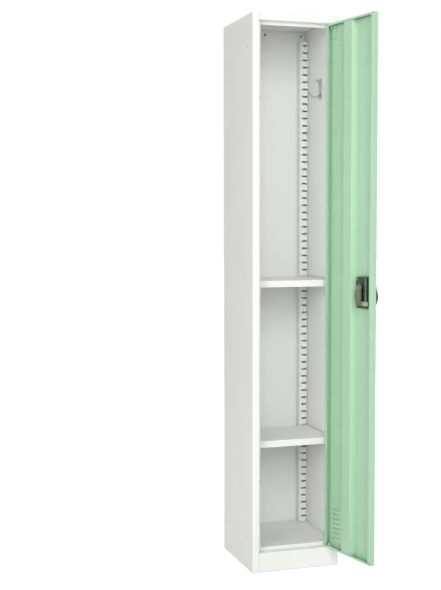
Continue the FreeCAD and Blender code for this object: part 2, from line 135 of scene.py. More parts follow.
def powder(name, base, shade, dust, crease_shade_tint, depth):
    """Fine-textured powder coat: orange peel, slow tone drift, faint scuffs low down, and
    painted shade darkening it in the corners and creases."""
    m = Mat(name, base, 0.42)
    m.p.inputs["Coat Weight"].default_value = 0.12
    m.p.inputs["Coat Roughness"].default_value = 0.25
    m.p.inputs["Specular IOR Level"].default_value = 0.45
    drift = m.noise(3.2, 4.0, 0.6)
    grain = m.noise(1400.0, 2.0, 0.5)
    peel = m.noise(620.0, 2.0, 0.45)
    c = m.mix(m.map(drift, 0.35, 0.65, 0.0, 1.0), base, shade)
    c = m.mix(m.map(grain, 0.3, 0.7, 0.0, 0.06), c, tuple(x * 0.80 for x in base))
    # scuffs: thin streaks, strongest in the bottom 120 mm
    streak = m.noise(26.0, 5.0, 0.65, stretch=(1.0, 1.0, 9.0), distortion=0.4)
    sep = m.node("ShaderNodeSeparateXYZ")
    m.link(m.co, sep.inputs[0])
    low = m.map(sep.outputs["Z"], 0.0, 0.16, 1.0, 0.0)
    mul = m.node("ShaderNodeMath", operation="MULTIPLY")
    m.link(m.map(streak, 0.55, 0.80, 0.0, 0.45), mul.inputs[0])
    m.link(low, mul.inputs[1])
    c = m.mix(mul.outputs[0], c, dust)
    # painted shade: where ambient occlusion finds a corner or recess, the colour darkens towards the crease tint, by
    # depth
    occlusion_shade = m.node("ShaderNodeAmbientOcclusion", samples=6)
    occlusion_shade.inputs["Distance"].default_value = 0.020
    c = m.mix(m.map(occlusion_shade.outputs["AO"], 0.18, 0.72, depth, 0.0), c, crease_shade_tint)
    # painted shade: a fine dark line where one sheet laps another or a rib is pressed up
    fine = m.node("ShaderNodeAmbientOcclusion", samples=6)
    fine.inputs["Distance"].default_value = 0.007
    c = m.mix(m.map(fine.outputs["AO"], 0.40, 0.94, depth * 0.65, 0.0), c, crease_shade_tint)
    m.link(c, m.p.inputs["Base Color"])
    m.link(m.map(m.noise(9.0, 3.0), 0.3, 0.7, 0.37, 0.49), m.p.inputs["Roughness"])
    m.bump([(peel, 0.10, 0.00030), (grain, 0.06, 0.00012)])
    return m.m


def metal(name, base, dark, rough, brush_axis, brush=0.35, spots=0.0, metallic=1.0, highlight_spot=None):
    """Plated metal with a directional brushed grain, tone drift, fine handling marks, painted shade in its creases and
    an optional painted highlight round one point.
    """
    m = Mat(name, base, rough, metallic)
    st = {"z": (1.0, 1.0, 0.04), "x": (0.04, 1.0, 1.0), "none": (1.0, 1.0, 1.0)}[brush_axis]
    lines = m.noise(2600.0, 3.0, 0.6, stretch=st)
    drift = m.noise(34.0, 4.0, 0.6)
    c = m.mix(m.map(drift, 0.3, 0.7, 0.0, 1.0), base, dark)
    c = m.mix(m.map(lines, 0.3, 0.7, 0.0, brush), c, tuple(x * 0.72 for x in base))
    if spots:
        sp = m.noise(420.0, 3.0, 0.7)
        c = m.mix(m.map(sp, 0.60, 0.74, 0.0, spots), c, tuple(min(1.0, x * 1.25) for x in base))
    # painted shade: the colour darkens towards a deep tone where ambient occlusion finds a crease
    occlusion_shade = m.node("ShaderNodeAmbientOcclusion", samples=6)
    occlusion_shade.inputs["Distance"].default_value = 0.006
    c = m.mix(m.map(occlusion_shade.outputs["AO"], 0.2, 0.8, 0.45, 0.0), c, tuple(x * 0.35 for x in dark))
    if highlight_spot:
        # painted highlight: lighter round one point, where the cam's foot meets the strike
        at, r0, r1, bright = highlight_spot
        off = m.node("ShaderNodeVectorMath", operation="SUBTRACT")
        off.inputs[1].default_value = at
        m.link(m.co, off.inputs[0])
        ln = m.node("ShaderNodeVectorMath", operation="LENGTH")
        m.link(off.outputs["Vector"], ln.inputs[0])
        c = m.mix(m.map(ln.outputs["Value"], r0, r1, 1.0, 0.0), c, bright)
    m.link(c, m.p.inputs["Base Color"])
    m.link(m.map(lines, 0.3, 0.7, rough - 0.06, rough + 0.09), m.p.inputs["Roughness"])
    m.bump([(lines, 0.10, 0.00006), (m.noise(180.0, 3.0), 0.05, 0.0004)])
    return m.m


def moulded(name, base, rough, grain_scale=900.0, grain=0.12, sss=0.0):
    """Moulded plastic or rubber: fine spark-eroded grain, slightly uneven gloss."""
    m = Mat(name, base, rough)
    g = m.noise(grain_scale, 3.0, 0.6)
    d = m.noise(60.0, 3.0, 0.5)
    c = m.mix(m.map(d, 0.3, 0.7, 0.0, 0.6), base, tuple(x * 0.8 + 0.01 for x in base))
    m.link(c, m.p.inputs["Base Color"])
    m.link(m.map(g, 0.3, 0.7, rough - 0.06, rough + 0.08), m.p.inputs["Roughness"])
    if sss:
        m.p.inputs["Subsurface Weight"].default_value = sss
        m.p.inputs["Subsurface Scale"].default_value = 0.001
    m.bump([(g, grain, 0.0002)])
    return m.m


# painted shade: the last two values of each coat are the tint and strength its corners and creases darken by
WHITE = powder("powder_coat_white", (0.885, 0.885, 0.866), (0.868, 0.872, 0.853), (0.58, 0.56, 0.52), (0.42, 0.44, 0.41), 0.30)
MINT = powder("powder_coat_mint", (0.440, 0.672, 0.470), (0.425, 0.652, 0.455), (0.30, 0.36, 0.30), (0.115, 0.245, 0.150), 0.62)
NICKEL = metal("satin_nickel", (0.43, 0.455, 0.355), (0.355, 0.38, 0.295), 0.40, "z")
NICKEL_DARK = metal("dark_nickel", (0.082, 0.086, 0.066), (0.052, 0.058, 0.042), 0.40, "z", brush=0.25)
NICKEL_BRIGHT = metal("polished_nickel", (0.52, 0.51, 0.47), (0.44, 0.43, 0.39), 0.22, "none", brush=0.15)
ZINC = metal("zinc_plate", (0.58, 0.60, 0.60), (0.47, 0.49, 0.50), 0.34, "none", brush=0.2, spots=0.35)
# lock case zinc; its dark green tint is painted reflection of the green door around it
ZINC_GREEN_REFLECTION = metal("lock_case_zinc_painted_reflection", (0.175, 0.235, 0.180), (0.105, 0.150, 0.110), 0.34, "z", brush=0.3)
BLACK = moulded("black_plastic", (0.012, 0.016, 0.013), 0.38)
NYLON = moulded("nylon", (0.74, 0.74, 0.70), 0.42, sss=0.08)
RUBBER = moulded("bumper_rubber", (0.56, 0.56, 0.54), 0.62, 700.0, 0.2)


# ------------------------------------------------------------------ mesh tools
def to_bm(obj):
    bm = bmesh.new()
    bm.from_mesh(obj.data)
    return bm


def temp(bm):
    me = bpy.data.meshes.new("tmp")
    bm.to_mesh(me)
    o = bpy.data.objects.new("tmp", me)
    COLL.objects.link(o)
    return o


def boolean(bm, other, op="DIFFERENCE"):
    """bm op other, as a new bmesh; both inputs are freed."""
    a, b = temp(bm), temp(other)
    mod = a.modifiers.new("b", "BOOLEAN")
    mod.operation, mod.solver, mod.object = op, "EXACT", b
    mod.use_self = False
    dg = bpy.context.evaluated_depsgraph_get()
    dg.update()
    me = bpy.data.meshes.new_from_object(a.evaluated_get(dg))
    out = bmesh.new()
    out.from_mesh(me)
    bm.free(), other.free()
    for o in (a, b):
        d = o.data
        bpy.data.objects.remove(o)
        bpy.data.meshes.remove(d)
    bpy.data.meshes.remove(me)
    return out


def append(bm, other):
    """Adds other's geometry to bm and frees other."""
    me = bpy.data.meshes.new("tmp")
    other.to_mesh(me)
    bm.from_mesh(me)
    bpy.data.meshes.remove(me)
    other.free()
    return bm


def tidy(bm):
    bmesh.ops.remove_doubles(bm, verts=bm.verts, dist=0.0005)
    bmesh.ops.dissolve_degenerate(bm, dist=0.0002, edges=bm.edges)
    bmesh.ops.recalc_face_normals(bm, faces=bm.faces)
    return bm


def weld(bm, dist=0.01):
    """Joins corners that a cut left a hair apart, so that the edge bevel isn't clamped to nothing."""
    bmesh.ops.remove_doubles(bm, verts=bm.verts[:], dist=dist)
    bmesh.ops.dissolve_degenerate(bm, dist=dist * 0.5, edges=bm.edges[:])
    return bm


def piece(name, bm, M, body, mat, nodes=(), bevel=0.0, seg=2, angle=32.0, sub=0, weighted=True):
    """Makes the finished object: placed in the row's frame, shaded, with its material."""
    if isinstance(bm, (list, tuple)):
        head = bm[0]
        for b in bm[1:]:
            append(head, b)
        bm = head
    bm.transform(M)
    me = bpy.data.meshes.new(name)
    bm.to_mesh(me)
    bm.free()
    me.materials.append(mat)
    o = bpy.data.objects.new(name, me)
    COLL.objects.link(o)
    for p in me.polygons:
        p.use_smooth = True
    if bevel:
        b = o.modifiers.new("edges", "BEVEL")
        b.width, b.segments, b.limit_method, b.angle_limit = bevel * 0.001, seg, "ANGLE", math.radians(angle)
        b.miter_outer = "MITER_ARC"
        b.use_clamp_overlap = True
    else:
        me.set_sharp_from_angle(angle=math.radians(angle))
    if sub:
        s = o.modifiers.new("smooth", "SUBSURF")
        s.levels = s.render_levels = sub
    if weighted:
        w = o.modifiers.new("normals", "WEIGHTED_NORMAL")
        w.keep_sharp, w.weight, w.mode = True, 60, "FACE_AREA"
    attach(o, body)
    if nodes:
        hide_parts(*nodes)
    return o


def bent(path, r, seg=5):
    """(point, left normal) samples along a polyline whose corners are arcs of radius r."""
    P = [Vector(p) for p in path]
    left = lambda d: Vector((-d.y, d.x))
    out = [(P[0], left((P[1] - P[0]).normalized()))]
    for i in range(1, len(P) - 1):
        a, b = (P[i] - P[i - 1]).normalized(), (P[i + 1] - P[i]).normalized()
        ang = math.atan2(a.x * b.y - a.y * b.x, a.dot(b))
        rr = r[i - 1] if isinstance(r, (list, tuple)) else r
        s = P[i] - a * rr * abs(math.tan(ang / 2))
        g = 1.0 if ang > 0 else -1.0
        n0 = left(a)
        c = s + n0 * rr * g
        for k in range(seg + 1):
            th = ang * k / seg
            n = Vector((n0.x * math.cos(th) - n0.y * math.sin(th), n0.x * math.sin(th) + n0.y * math.cos(th)))
            out.append((c - n * rr * g, n))
    out.append((P[-1], left((P[-1] - P[-2]).normalized())))
    return out


PLANES = {"xy": lambda u, v, w: (u, v, w), "yz": lambda u, v, w: (w, u, v), "xz": lambda u, v, w: (u, w, v)}


def sheet(path, t, r, ends, plane, seg=5):
    """A folded sheet: a rounded path with thickness t, drawn in one plane and run between the ends."""
    f = PLANES[plane]
    bm = bmesh.new()
    s = bent(path, r, seg)
    rows = []
    for w in ends:
        rows.append([(bm.verts.new(f(*(p + n * t / 2), w)), bm.verts.new(f(*(p - n * t / 2), w))) for p, n in s])
    for a, b in zip(rows[:-1], rows[1:]):
        for i in range(len(s) - 1):
            bm.faces.new((a[i][0], a[i + 1][0], b[i + 1][0], b[i][0]))
            bm.faces.new((a[i][1], b[i][1], b[i + 1][1], a[i + 1][1]))
        for i in (0, len(s) - 1):
            bm.faces.new((a[i][0], b[i][0], b[i][1], a[i][1]))
    for row in (rows[0], rows[-1]):
        for i in range(len(s) - 1):
            bm.faces.new((row[i][0], row[i][1], row[i + 1][1], row[i + 1][0]))
    bmesh.ops.recalc_face_normals(bm, faces=bm.faces)
    return bm


def block(x0, x1, y0, y1, z0, z1):
    bm = bmesh.new()
    bmesh.ops.create_cube(bm, size=1.0, matrix=Matrix.Translation(((x0 + x1) / 2, (y0 + y1) / 2, (z0 + z1) / 2)) @ Matrix.Diagonal((x1 - x0, y1 - y0, z1 - z0, 1)))
    return bm


AXES = {"x": Matrix.Rotation(math.pi / 2, 4, "Y"), "y": Matrix.Rotation(-math.pi / 2, 4, "X"), "z": Matrix.Identity(4)}


def rod(r, length, at, axis, n=40):
    """Cutter: a round rod that starts at a point and runs along an axis."""
    bm = bmesh.new()
    bmesh.ops.create_cone(bm, cap_ends=True, segments=n, radius1=r, radius2=r, depth=length,
                          matrix=Matrix.Translation(at) @ AXES[axis] @ Matrix.Translation((0, 0, length / 2)))
    return bm


def prism(points, ends, plane):
    """Closed outline run between two ends."""
    f = PLANES[plane]
    bm = bmesh.new()
    rows = [[bm.verts.new(f(u, v, w)) for u, v in points] for w in ends]
    n = len(points)
    for i in range(n):
        bm.faces.new((rows[0][i], rows[0][(i + 1) % n], rows[1][(i + 1) % n], rows[1][i]))
    bm.faces.new(rows[0])
    bm.faces.new(list(reversed(rows[1])))
    bmesh.ops.recalc_face_normals(bm, faces=bm.faces)
    return bm


def rounded(x0, x1, y0, y1, r, n=8):
    """Outline of a rectangle with round corners; r is one radius or four."""
    rs = r if isinstance(r, (list, tuple)) else [r] * 4
    pts = []
    for (cx, cy, a0), q in zip([(x1, y1, 0), (x0, y1, 90), (x0, y0, 180), (x1, y0, 270)], rs):
        ox, oy = cx - q if cx == x1 else cx + q, cy - q if cy == y1 else cy + q
        for k in range(n + 1):
            a = math.radians(a0 + 90.0 * k / n)
            pts.append((ox + q * math.cos(a), oy + q * math.sin(a)))
    return pts


def lathe(profile, at, axis, n=48, flip=False):
    """Turned piece: (radius, height) pairs about an axis through a point. A radius of 0 closes it."""
    bm = bmesh.new()
    M = Matrix.Translation(at) @ AXES[axis]
    rings = []
    for r, h in profile:
        if r < 1e-6:
            rings.append([bm.verts.new(M @ Vector((0, 0, h)))])
        else:
            rings.append([bm.verts.new(M @ Vector((r * math.cos(2 * math.pi * k / n), r * math.sin(2 * math.pi * k / n), h))) for k in range(n)])
    for a, b in zip(rings[:-1], rings[1:]):
        for k in range(n):
            k2 = (k + 1) % n
            if len(a) == 1 and len(b) == 1:
                continue
            if len(a) == 1:
                bm.faces.new((a[0], b[k2], b[k]))
            elif len(b) == 1:
                bm.faces.new((a[k], a[k2], b[0]))
            else:
                bm.faces.new((a[k], a[k2], b[k2], b[k]))
    if len(rings[0]) > 1 and len(rings[-1]) > 1:
        if profile[0] != profile[-1]:
            for k in range(n):
                k2 = (k + 1) % n
                bm.faces.new((rings[-1][k], rings[-1][k2], rings[0][k2], rings[0][k]))
        else:
            bmesh.ops.remove_doubles(bm, verts=bm.verts, dist=1e-5)
    bmesh.ops.recalc_face_normals(bm, faces=bm.faces)
    return bm


def mirrored(bm):
    out = bm.copy()
    out.transform(Matrix.Scale(-1, 4, (1, 0, 0)))
    bmesh.ops.reverse_faces(out, faces=out.faces)
    return out


# ------------------------------------------------------------------ cabinet
def side_panel():
    bm = sheet([(-118.0, -129.55), (-129.95, -129.55), (-129.95, -152.05), (-152.05, -152.05), (-152.05, 152.05), (-137.5, 152.05)],
               T, (0.95, 0.95, 1.55, 1.55), (0.0, 1829.0), "xy", 6)
    foot = sheet([(-152.05, 9.0), (-152.05, 0.45), (-136.5, 0.45)], T, 1.5, (-118.0, 150.4), "xz", 5)
    bm = boolean(bm, foot, "UNION")
    # the return and the stop lip end just under the roof sheet
    bm = boolean(bm, block(-151.4, -117.0, -151.4, -128.0, 1828.0, 1830.0))
    for y in (-100.0, 100.0):
        for z in (107.0, 1727.0):
            bm = boolean(bm, rod(3.5, 4.0, (-154.0, y, z), "x"))
    return bm


left = side_panel()
right = mirrored(left)
piece("side_panel_left", left, CAB, "cabinet", WHITE, ["left_side_panel"], bevel=0.22)
piece("side_panel_right", right, CAB, "cabinet", WHITE, ["right_side_panel"], bevel=0.22)

# back sheet with three anchor holes and two shallow pressed stiffening beads would show
# from behind; the real sheet is flat, so only its holes are cut
back = block(-151.4, 151.4, 150.6, 151.6, 0.2, 1828.0)
for x in (-135.0, 0.0, 135.0):
    back = boolean(back, rod(4.0, 6.0, (x, 148.0, 1812.0), "y"))
piece("back_sheet", back, CAB, "cabinet", WHITE, ["back_panel"], bevel=0.2)

# header and roof: lip, header underside, header face, roof
head = sheet([(-129.55, 1794.0), (-129.55, 1805.45), (-152.05, 1805.45), (-152.05, 1828.55), (151.5, 1828.55)],
             T, 1.55, (-129.45, 129.45), "yz", 6)
for s in (-1, 1):
    head = boolean(head, block(min(s * 117.9, s * 131), max(s * 117.9, s * 131), -131.5, -128.0, 1790.0, 1807.2))
roof = block(-151.6, 151.6, -150.0, 151.5, 1828.1, 1829.0)
head = boolean(head, roof, "UNION")
head = boolean(head, rod(2.56, 6.0, (HX, HY, 1803.0), "z"))
piece("header_and_roof", head, CAB, "cabinet", WHITE, ["top_panel"], bevel=0.22)

# sill ledge, rim and floor
sill = sheet([(-152.4, 65.55), (-129.55, 65.55), (-129.55, 77.55), (150.2, 77.55)], T, 1.45, (-117.9, 117.9), "yz", 6)
for s in (-1, 1):
    sill = boolean(sill, block(min(s * 117.0, s * 129.4), max(s * 117.0, s * 129.4), -152.4, -131.2, 65.1, 66.0), "UNION")
    sill = boolean(sill, block(min(s * 117.0, s * 151.4), max(s * 117.0, s * 151.4), -127.6, 150.2, 77.1, 78.0), "UNION")
sill = boolean(sill, rod(2.56, 6.0, (HX, HY, 62.0), "z"))
piece("sill_and_floor", weld(sill), CAB, "cabinet", WHITE, ["bottom_panel"], bevel=0.2)

kick = sheet([(-136.6, 0.45), (-152.05, 0.45), (-152.05, 65.05)], T, 1.5, (-129.3, 129.3), "yz", 6)
piece("kick_board", kick, CAB, "cabinet", WHITE, ["kick_plate"], bevel=0.2)


# slotted uprights
def slot_cutters(x0, x1, y0, y1, h=6.0, n=67):
    allc = bmesh.new()
    for i in range(n):
        z = 100.0 + 25.4 * i
        append(allc, prism(rounded(x0, x1, z - h / 2, z + h / 2, 2.4, 5), (y0, y1), "xz"))
    return allc


def rear_upright():
    bm = sheet([(-150.9, 150.0), (-150.9, 122.6), (-122.1, 122.6), (-122.1, 150.0)], 1.2, 1.9, (79.0, 1790.0), "xy", 5)
    return boolean(bm, slot_cutters(-148.5, -128.5, 120.0, 126.0))


def front_upright():
    bm = sheet([(-150.9, -128.8), (-150.9, -121.6), (-129.6, -121.6)], 1.2, 1.9, (79.0, 1790.0), "xy", 5)
    return boolean(bm, slot_cutters(-148.3, -133.6, -124.0, -119.0))


ru, fu = rear_upright(), front_upright()
piece("slotted_upright_rear_right", mirrored(ru), CAB, "cabinet", WHITE, ["rear_upright_right"])
piece("slotted_upright_rear_left", ru, CAB, "cabinet", WHITE, ["rear_upright_left"])
piece("slotted_upright_front_right", mirrored(fu), CAB, "cabinet", WHITE, ["front_upright_right"])
piece("slotted_upright_front_left", fu, CAB, "cabinet", WHITE, ["front_upright_left"])


# shelves: a tray folded down on all four sides, round corners
def shelf(z):
    bm = block(-149.0, 149.0, -117.0, 118.0, z - 22.0, z)
    low = [f for f in bm.faces if f.normal.z < -0.9]
    bmesh.ops.delete(bm, geom=low, context="FACES")
    up = [e for e in bm.edges if abs(e.verts[0].co.z - e.verts[1].co.z) > 1.0]
    bmesh.ops.bevel(bm, geom=up, offset=2.6, segments=5, affect="EDGES", profile=0.5)
    top = [e for e in bm.edges if e.verts[0].co.z > z - 0.01 and e.verts[1].co.z > z - 0.01]
    bmesh.ops.bevel(bm, geom=top, offset=2.0, segments=5, affect="EDGES", profile=0.5)
    bmesh.ops.recalc_face_normals(bm, faces=bm.faces)
    if max(bm.faces, key=lambda f: f.calc_area()).normal.z < 0:
        bmesh.ops.reverse_faces(bm, faces=bm.faces)
    o = temp(bm)
    bm.free()
    m = o.modifiers.new("s", "SOLIDIFY")
    m.thickness, m.offset, m.use_even_offset = 0.9, -1.0, True
    dg = bpy.context.evaluated_depsgraph_get()
    dg.update()
    me = bpy.data.meshes.new_from_object(o.evaluated_get(dg))
    out = bmesh.new()
    out.from_mesh(me)
    bpy.data.objects.remove(o)
    return out


piece("shelf_upper", shelf(965.0), CAB, "upper_shelf_tray", WHITE, ["upper_shelf"])
piece("shelf_lower", shelf(431.6), CAB, "lower_shelf_tray", WHITE, ["lower_shelf"])


# shelf clips: a folded strip with its hook through the slot and a ledge under the shelf's lip
def clip(z, rear):
    zc, ledge = z - 1.4, z - 22.0
    if rear:
        f, d, x0, x1 = 122.0, -1.0, -146.5, -130.5
    else:
        f, d, x0, x1 = -121.0, 1.0, -147.5, -134.5
    bm = sheet([(f + d * 14.0, ledge - 0.7), (f + d * 0.6, ledge - 0.7), (f + d * 0.6, zc + 2.9)], 1.2, 1.4, (x0, x1), "yz", 5)
    t = (4.3, 3.4) if rear else (3.3, 2.9)
    tab = sheet([(f + d * 0.7, zc - 0.6), (f - d * t[0] + d * 0.4, zc - 0.6), (f - d * t[0] + d * 0.4, zc - 8.0)], 1.2, 1.1, (x0 + 1.2, x1 - 1.2), "yz", 5)
    return append(bm, tab)


def clip_set(z):
    a, b = clip(z, True), clip(z, False)
    return [mirrored(a), mirrored(b), a, b]


piece("clips_upper", clip_set(965.0), CAB, "cabinet", ZINC, ["upper_shelf_clips"], bevel=0.18)
piece("clips_lower", clip_set(431.6), CAB, "cabinet", ZINC, ["lower_shelf_clips"], bevel=0.18)


# coat hooks: stamped plate, drawn-out strap prongs, ball end
def catmull(P, n):
    P = [Vector(p) for p in P]
    Q = [P[0] * 2 - P[1]] + P + [P[-1] * 2 - P[-2]]
    out = []
    for i in range(1, len(Q) - 2):
        a, b, c, d = Q[i - 1], Q[i], Q[i + 1], Q[i + 2]
        for k in range(n):
            t = k / n
            out.append(0.5 * (2 * b + (c - a) * t + (2 * a - 5 * b + 4 * c - d) * t * t + (3 * b - a - 3 * c + d) * t ** 3))
    out.append(Q[-2])
    return out


def strap(points, y0, y1, t, taper, n=6):
    """Flat bar swept along a smooth line in XZ, with rounded edges, narrowing to its end."""
    line = catmull(points, n)
    bm = bmesh.new()
    rings = []
    yc, hw = (y0 + y1) / 2, (y1 - y0) / 2
    for i, p in enumerate(line):
        a, b = line[max(i - 1, 0)], line[min(i + 1, len(line) - 1)]
        d = (b - a).normalized()
        nx, nz = -d.y, d.x
        w = hw * (1 - (1 - taper) * i / (len(line) - 1))
        h = t / 2
        e = min(0.8, h * 0.6)
        prof = [(-w, -h + e), (-w + e, -h), (w - e, -h), (w, -h + e), (w, h - e), (w - e, h), (-w + e, h), (-w, h - e)]
        rings.append([bm.verts.new((p.x + nx * v, yc + u, p.y + nz * v)) for u, v in prof])
    for a, b in zip(rings[:-1], rings[1:]):
        for k in range(8):
            bm.faces.new((a[k], a[(k + 1) % 8], b[(k + 1) % 8], b[k]))
    bm.faces.new(rings[0])
    bm.faces.new(list(reversed(rings[-1])))
    bmesh.ops.recalc_face_normals(bm, faces=bm.faces)
    return bm


HK = -151.5


def hook():
    plate = prism(rounded(2.0, 22.0, 1578.0, 1648.0, 6.0, 8), (HK, HK + 2.0), "yz")
    for z in (1606.0, 1624.0):
        plate = boolean(plate, rod(2.0, 5.0, (HK - 1.5, 12.0, z), "x", 24))
    main = strap([(HK + 1.2, 1596.5), (HK + 8, 1589), (HK + 19, 1585), (HK + 31, 1588), (HK + 40, 1597), (HK + 45, 1608)], 5.6, 18.4, 2.6, 0.55)
    small = strap([(HK + 1.2, 1635.5), (HK + 9, 1638.3), (HK + 15, 1646)], 6.0, 18.0, 2.6, 0.75)
    ball = bmesh.new()
    bmesh.ops.create_uvsphere(ball, u_segments=24, v_segments=14, radius=4.2, matrix=Matrix.Translation((HK + 45.5, 12.0, 1609.3)))
    return [plate, main, small, ball]


h1 = hook()
h2 = [mirrored(b) for b in h1]
piece("hook_left", h1, CAB, "cabinet", ZINC, ["coat_hook_left"], bevel=0.3)
piece("hook_right", h2, CAB, "cabinet", ZINC, ["coat_hook_right"], bevel=0.3)


def dome(R, h, n=7):
    """Profile of a low dome, from its rim to its crown."""
    return [(R * math.cos(k / n * math.pi / 2), h * math.sin(k / n * math.pi / 2)) for k in range(n)] + [(0.0, h)]


rv = []
for z in (1606.0, 1624.0):
    b = lathe([(0.0, -2.0), (1.9, -2.0), (1.9, 0.0)] + dome(3.3, 1.35), (HK + 2.0, 12.0, z), "x", 28)
    rv += [mirrored(b), b]
piece("hook_rivet_heads", rv, CAB, "cabinet", ZINC, ["hook_rivets"], angle=50)

rv = []
for z in (40.0, 330.0, 640.0, 950.0, 1260.0, 1570.0, 1780.0):
    # pulled blind rivet: flanged dome with the broken mandrel's dimple at its crown
    b = lathe([(0.0, 0.0), (3.0, 0.0), (3.02, 0.25), (2.7, 0.8), (2.0, 1.2), (1.25, 1.34), (1.05, 1.3), (0.95, 0.85), (0.0, 0.8)],
              (-145.0, 152.5, z), "y", 28)
    rv += [mirrored(b), b]
piece("back_rivet_heads", rv, CAB, "cabinet", WHITE, ["back_panel_rivets"], angle=50)

bump = [lathe([(0.0, -0.02), (3.2, -0.02), (3.2, 0.4), (4.0, 0.45), (4.0, 1.0), (3.6, 1.7), (2.6, 2.1), (1.2, 2.2), (0.0, 2.2)], (-123.9, -130.0, z), "y", 32)
        for z in (300.0, 900.0, 1560.0)]
for b in bump:
    for v in b.verts:
        v.co.y = -260.0 - v.co.y
    bmesh.ops.recalc_face_normals(b, faces=b.faces)
piece("bumper_buttons", bump, CAB, "cabinet", RUBBER, ["door_bumpers"], angle=50)

pin = lathe([(0.0, 1785.9), (1.7, 1785.9), (2.5, 1787.0), (2.5, 1805.9), (3.6, 1805.9), (3.9, 1806.2), (3.9, 1807.2), (3.4, 1807.9), (0.0, 1807.9)], (HX, HY, 0), "z", 32)
piece("pivot_pin_top", pin, CAB, "cabinet", ZINC, ["top_pivot_pin"], angle=40)
pin = lathe([(0.0, 63.1), (3.4, 63.1), (3.9, 63.8), (3.9, 64.8), (3.6, 65.1), (2.5, 65.1), (2.5, 81.0), (1.7, 82.1), (0.0, 82.1)], (HX, HY, 0), "z", 32)
piece("pivot_pin_bottom", pin, CAB, "cabinet", ZINC, ["bottom_pivot_pin"], angle=40)


# ------------------------------------------------------------------ door skin
def spread(a, b, step):
    n = max(1, int(math.ceil((b - a) / step - 1e-6)))
    return [a + (b - a) * k / n for k in range(n + 1)]


def lines(spans):
    out = []
    for a, b, step in spans:
        for v in spread(a, b, step):
            if not out or v - out[-1] > 0.02:
                out.append(v)
    return out


X0, X1, Y0, Z0, Z1 = -127.5, 127.5, -152.5, 67.0, 1803.0
RB = 1.6      # outer bend radius
DEPTH = 20.0


def wrap(lo, hi, hem, inner):
    """Samples (position, depth, across normal, depth normal, tag) over one direction of the pan:
    hem, bend, flange, bend, skin, bend, flange, bend, hem."""
    out = []

    def edge(sign, at):
        seq = [(at, 0.0, 0.0, -1.0, "S")]
        c = at - sign * RB
        for k in range(1, 5):
            a = math.pi / 2 * k / 4
            seq.append((c + sign * RB * math.sin(a), RB - RB * math.cos(a), sign * math.sin(a), -math.cos(a), "B"))
        for d in (6.0, 12.0):
            seq.append((at, d, sign, 0.0, "F"))
        seq.append((at, DEPTH - RB, sign, 0.0, "F"))
        for k in range(1, 5):
            a = math.pi / 2 * k / 4
            seq.append((c + sign * RB * math.cos(a), DEPTH - RB + RB * math.sin(a), sign * math.cos(a), math.sin(a), "K"))
        seq.append((at - sign * (RB + 3.0), DEPTH, 0.0, 1.0, "H"))
        seq.append((at - sign * hem, DEPTH, 0.0, 1.0, "H"))
        seq[0] = (c, 0.0, 0.0, -1.0, "S")
        return seq

    lo_edge = list(reversed(edge(-1.0, lo)))
    hi_edge = edge(1.0, hi)
    mid = [(v, 0.0, 0.0, -1.0, "S") for v in inner if lo + RB + 0.3 < v < hi - RB - 0.3]
    return lo_edge + mid + hi_edge


ZL = [101.0 + 16.0 * i for i in range(7)]
LX0, LX1 = 36.0, 109.0
xs = lines([(-126, 30, 13.0), (30, 36, 3.0), (36, 37.2, 0.4), (37.2, 42.0, 0.8), (42.0, 50.0, 2.7), (50.0, 58.0, 0.75), (58.0, 95.0, 4.6),
            (95.0, 103.5, 0.75), (103.5, 107.8, 0.75), (107.8, 109.0, 0.4), (109.0, 126, 4.3)])
zspans = [(69, 92, 8.0)]
last = 92.0
for zc in ZL:
    if zc - 4.2 > last:
        zspans.append((last, zc - 4.2, 3.0))
    zspans += [(zc - 4.2, zc - 3.15, 1.05), (zc - 3.15, zc - 3.0, 0.2), (zc - 3.0, zc + 3.4, 0.64), (zc + 3.4, zc + 4.2, 0.8)]
    last = zc + 4.2
zspans += [(last, 240, 12.0), (240, 880, 32.0), (880, 1000, 12.0), (1000, 1710, 32.0), (1710, 1724, 4.0), (1724, 1737, 0.75), (1737, 1764, 4.5),
           (1764, 1774, 0.75), (1774, 1788, 4.7), (1788, 1801, 6.0)]
zs = lines(zspans)


def seg_dist(px, pz, ax, az, bx, bz):
    dx, dz = bx - ax, bz - az
    t = max(0.0, min(1.0, ((px - ax) * dx + (pz - az) * dz) / (dx * dx + dz * dz)))
    return math.hypot(px - ax - dx * t, pz - az - dz * t)


# pressed card holder: centre line of its rib, a U with round bottom corners
card = [(52.5, 1770.0), (52.5, 1733.0)]
for k in range(1, 7):
    a = math.radians(180 + 90 * k / 6)
    card.append((57.5 + 5 * math.cos(a), 1733.0 + 5 * math.sin(a)))
card.append((96.0, 1728.0))
for k in range(1, 7):
    a = math.radians(270 + 90 * k / 6)
    card.append((96.0 + 5 * math.cos(a), 1733.0 + 5 * math.sin(a)))
card.append((101.0, 1770.0))


def relief(x, z):
    """How far the skin stands out of its flat plane, in mm."""
    if 48.0 < x < 106.0 and 1722.0 < z < 1776.0:
        d = min(seg_dist(x, z, *a, *b) for a, b in zip(card[:-1], card[1:]))
        if d < 2.0:
            return 1.20 * (0.5 + 0.5 * math.cos(math.pi * d / 2.0)) ** 0.7
    if LX0 < x < LX1:
        for zc in ZL:
            if zc - 3.001 <= z <= zc + 3.4:
                s = (zc + 3.4 - z) / 6.4
                a = min(1.0, min(x - LX0, LX1 - x) / 5.0)
                e = math.sqrt(max(0.0, 1 - (1 - a) ** 2))
                return 3.15 * e * math.sin(s * math.pi / 2) ** 1.3
    return 0.0


